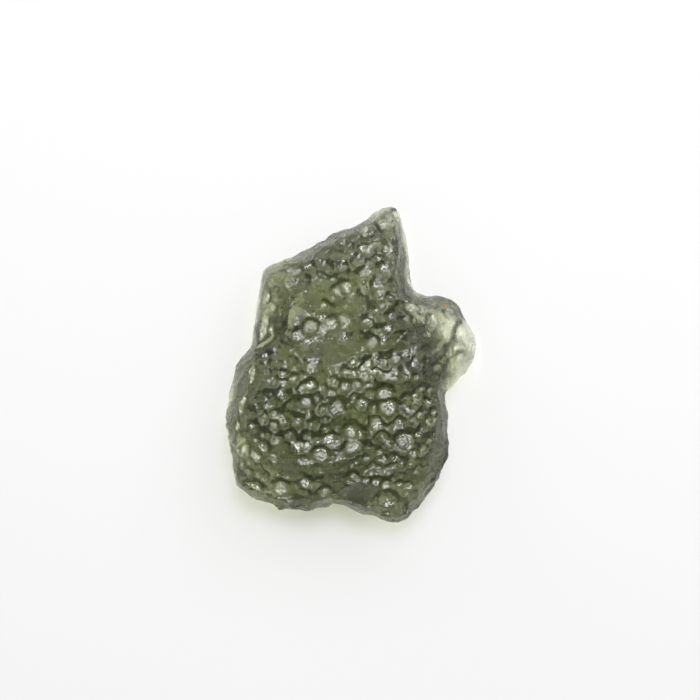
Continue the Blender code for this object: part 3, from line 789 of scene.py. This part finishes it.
def glassMaterial():
    material = bpy.data.materials.new("etched green glass")
    material.use_nodes = True
    tree = material.node_tree
    link = tree.links.new
    shader = tree.nodes["Principled BSDF"]
    shader.inputs["IOR"].default_value = glassLook["ior"]
    shader.inputs["Transmission Weight"].default_value = 1
    places = addNode(tree, "ShaderNodeTexCoord").outputs["Object"]
    link(glassBumps(tree, places), shader.inputs["Normal"])
    link(glassTint(tree), shader.inputs["Base Color"])
    link(glassRoughness(tree, places), shader.inputs["Roughness"])

    # light goes straight through to the table, and the green inside takes its share of it
    through = addNode(tree, "ShaderNodeBsdfTransparent")
    ray = addNode(tree, "ShaderNodeLightPath")
    either = addNode(tree, "ShaderNodeMixShader")
    link(ray.outputs["Is Shadow Ray"], either.inputs["Fac"])
    link(shader.outputs["BSDF"], either.inputs[1])
    link(through.outputs["BSDF"], either.inputs[2])
    link(either.outputs["Shader"], tree.nodes["Material Output"].inputs["Surface"])

    inside = addNode(tree, "ShaderNodeVolumeAbsorption", Density=glassLook["density"])
    inside.inputs["Color"].default_value = glassLook["absorbed"]
    link(inside.outputs["Volume"], tree.nodes["Material Output"].inputs["Volume"])
    return material


def makeStone():
    mesh = etchedMesh()
    mesh.name = "moldavite_stone"
    mesh.materials.clear()
    mesh.materials.append(glassMaterial())
    mesh.shade_smooth()
    piece = bpy.data.objects.new("moldavite_stone", mesh)
    bpy.context.scene.collection.objects.link(piece)
    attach(piece, "root")
    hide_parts("moldavite")
    print("stone made")


table = {"size": 1.2, "colour": (0.55, 0.55, 0.55, 1), "roughness": 0.6, "shine": 0.2, "below": 0.00005}


def makeTable():
    sheet = bmesh.new()
    bmesh.ops.create_grid(sheet, x_segments=1, y_segments=1, size=table["size"])
    mesh = bpy.data.meshes.new("table")
    sheet.to_mesh(mesh)
    sheet.free()
    floor = bpy.data.objects.new("table", mesh)
    floor.location.z = -table["below"]
    material = bpy.data.materials.new("white table")
    material.use_nodes = True
    shader = material.node_tree.nodes["Principled BSDF"]
    shader.inputs["Base Color"].default_value = table["colour"]
    shader.inputs["Roughness"].default_value = table["roughness"]
    shader.inputs["Specular IOR Level"].default_value = table["shine"]
    mesh.materials.append(material)
    bpy.context.scene.collection.objects.link(floor)


# Each light: where it stands, its size and its power; all of them point at the stone
lights = {
    "softbox": ((0.22, 0.32, 0.45), 0.66, 2.3),
    "key": ((0.015, 0.13, 0.40), 0.152, 1.8),
    "side card": ((-0.26, 0.34, 0.08), 0.40, 0.45),
}
roomLight = 0.37


def makeLights():
    for name, (place, size, power) in lights.items():
        lamp = bpy.data.lights.new(name, "AREA")
        lamp.shape = "DISK"
        lamp.size = size
        lamp.energy = power
        light = bpy.data.objects.new(name, lamp)
        light.location = place
        light.rotation_euler = Vector(place).to_track_quat("Z", "Y").to_euler()
        bpy.context.scene.collection.objects.link(light)
    world = bpy.data.worlds.new("room")
    world.use_nodes = True
    sky = world.node_tree.nodes["Background"]
    sky.inputs["Color"].default_value = (1, 1, 1, 1)
    sky.inputs["Strength"].default_value = roomLight
    bpy.context.scene.world = world


# The camera looks straight down at a point above the table, and its view is this wide there
camera = {
    "distance": 0.333,
    "view": 700 * step,
    "look": (0.5 * step, 13.5 * step),
    "level": 46 * step,
    "sensor": 36,
}


def makeCamera():
    lens = bpy.data.cameras.new("camera")
    lens.sensor_width = camera["sensor"]
    lens.lens = lens.sensor_width * camera["distance"] / camera["view"]
    eye = bpy.data.objects.new("camera", lens)
    eye.location = (*camera["look"], camera["level"] + camera["distance"])
    bpy.context.scene.collection.objects.link(eye)
    bpy.context.scene.camera = eye


makeStone()
makeTable()
makeLights()
makeCamera()
bpy.context.scene.view_settings.view_transform = "Standard"
